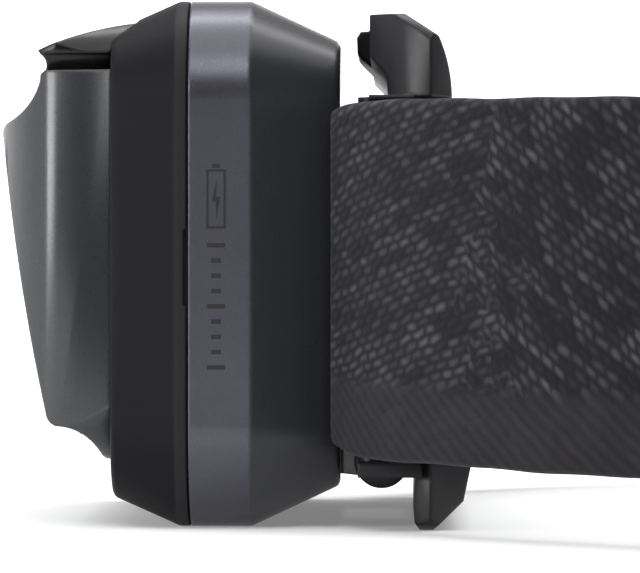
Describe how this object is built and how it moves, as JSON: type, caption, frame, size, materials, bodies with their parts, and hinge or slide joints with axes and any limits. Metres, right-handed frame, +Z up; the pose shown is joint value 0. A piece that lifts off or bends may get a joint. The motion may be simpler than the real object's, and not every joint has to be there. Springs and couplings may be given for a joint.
{
  "type": "headlamp",
  "caption": "Compact headlamp on an elastic headband: slim two-part lamp body that tilts on a hooked bracket, opens sideways for its cells and has a peaked brow over a scooped front.",
  "frame": {"origin": "centre of the bounding box's underside, on the surface that the lamp, the bracket's foot and the back of the strap rest on", "axes": "+Z up, the beam points along -Y, +X to the wearer's left"},
  "size_m": [0.151, 0.2001, 0.0391],
  "materials": {
    "cover_plastic": "satin dark grey polycarbonate",
    "brow_gloss": "polished black",
    "housing_black": "fine-grained black plastic",
    "rear_grey": "satin graphite paint over plastic",
    "lens_clear": "clear polycarbonate window",
    "seal_rubber": "black silicone",
    "reflector_bright": "vacuum-metallised bowl",
    "led_yellow": "phosphor under a clear dome",
    "led_red": "red chip",
    "board_green": "solder-masked board",
    "spreader_metal": "rolled sheet",
    "screw_steel": "zinc-plated steel",
    "chip_black": "moulded epoxy",
    "cup_grey": "moulded cup",
    "divider_black": "moulded sheet",
    "button_rubber": "soft overmoulded cap",
    "flap_rubber": "soft flap",
    "socket_metal": "plated shell",
    "cell_jacket": "printed sleeve over a steel can",
    "contact_nickel": "nickel-plated spring steel",
    "bracket_plastic": "satin black nylon",
    "pin_steel": "ground steel",
    "strap_webbing": "elastic twill webbing, charcoal with lighter flecks",
    "slider_plastic": "moulded acetal"
  },
  "bodies": {
    "headband": {"bracket": "bracket_plastic", "tilt_pins": "pin_steel", "headband_strap": "strap_webbing"},
    "slider": {"strap_slider": "slider_plastic"},
    "lamp_rear": {"rear_cover": "rear_grey", "cell_top": "cell_jacket", "cell_middle": "cell_jacket", "cell_bottom": "cell_jacket", "contact_plates": "contact_nickel", "contact_springs": "contact_nickel", "door_pin": "pin_steel"},
    "lamp_front": {"front_housing": "housing_black", "front_cover": "cover_plastic", "brow_trim": "brow_gloss", "lens_window": "lens_clear", "lens_seal": "seal_rubber", "reflector": "reflector_bright", "main_led": "led_yellow", "led_board": "board_green", "heat_spreader": "spreader_metal", "board_screws": "screw_steel", "flood_led": "led_yellow", "flood_cup": "cup_grey", "red_led": "led_red", "red_cup": "cup_grey", "control_board": "board_green", "board_parts": "chip_black", "cell_divider": "divider_black", "cover_screws": "screw_steel", "housing_seal": "seal_rubber", "snap_catch": "housing_black", "dome_switch": "chip_black", "charge_socket": "socket_metal"},
    "button": {"power_button": "button_rubber"},
    "flap": {"port_flap": "flap_rubber"}
  },
  "joints": [
    {"name": "tilt", "type": "hinge", "parent": "headband", "child": "lamp_rear", "pos_m": [0, -0.07149, 0.0049], "axis": [1, 0, 0], "range_deg": [0, 60]},
    {"name": "open", "type": "hinge", "parent": "lamp_rear", "child": "lamp_front", "pos_m": [-0.0313, -0.08564, 0.0195], "axis": [0, 0, -1], "range_deg": [0, 95]},
    {"name": "press", "type": "slide", "parent": "lamp_front", "child": "button", "axis": [0, 0.4067, -0.9135], "range_m": [0, 0.0005], "stiffness_N_per_m": 1500},
    {"name": "flap_swing", "type": "hinge", "parent": "lamp_front", "child": "flap", "pos_m": [0.0056, -0.08912, 0.0012], "axis": [0, -0.9135, 0.4067], "range_deg": [0, 110]},
    {"name": "slider_move", "type": "slide", "parent": "headband", "child": "slider", "axis": [0, 0.9995, -0.0311], "range_m": [0, 0.01]}
  ]
}
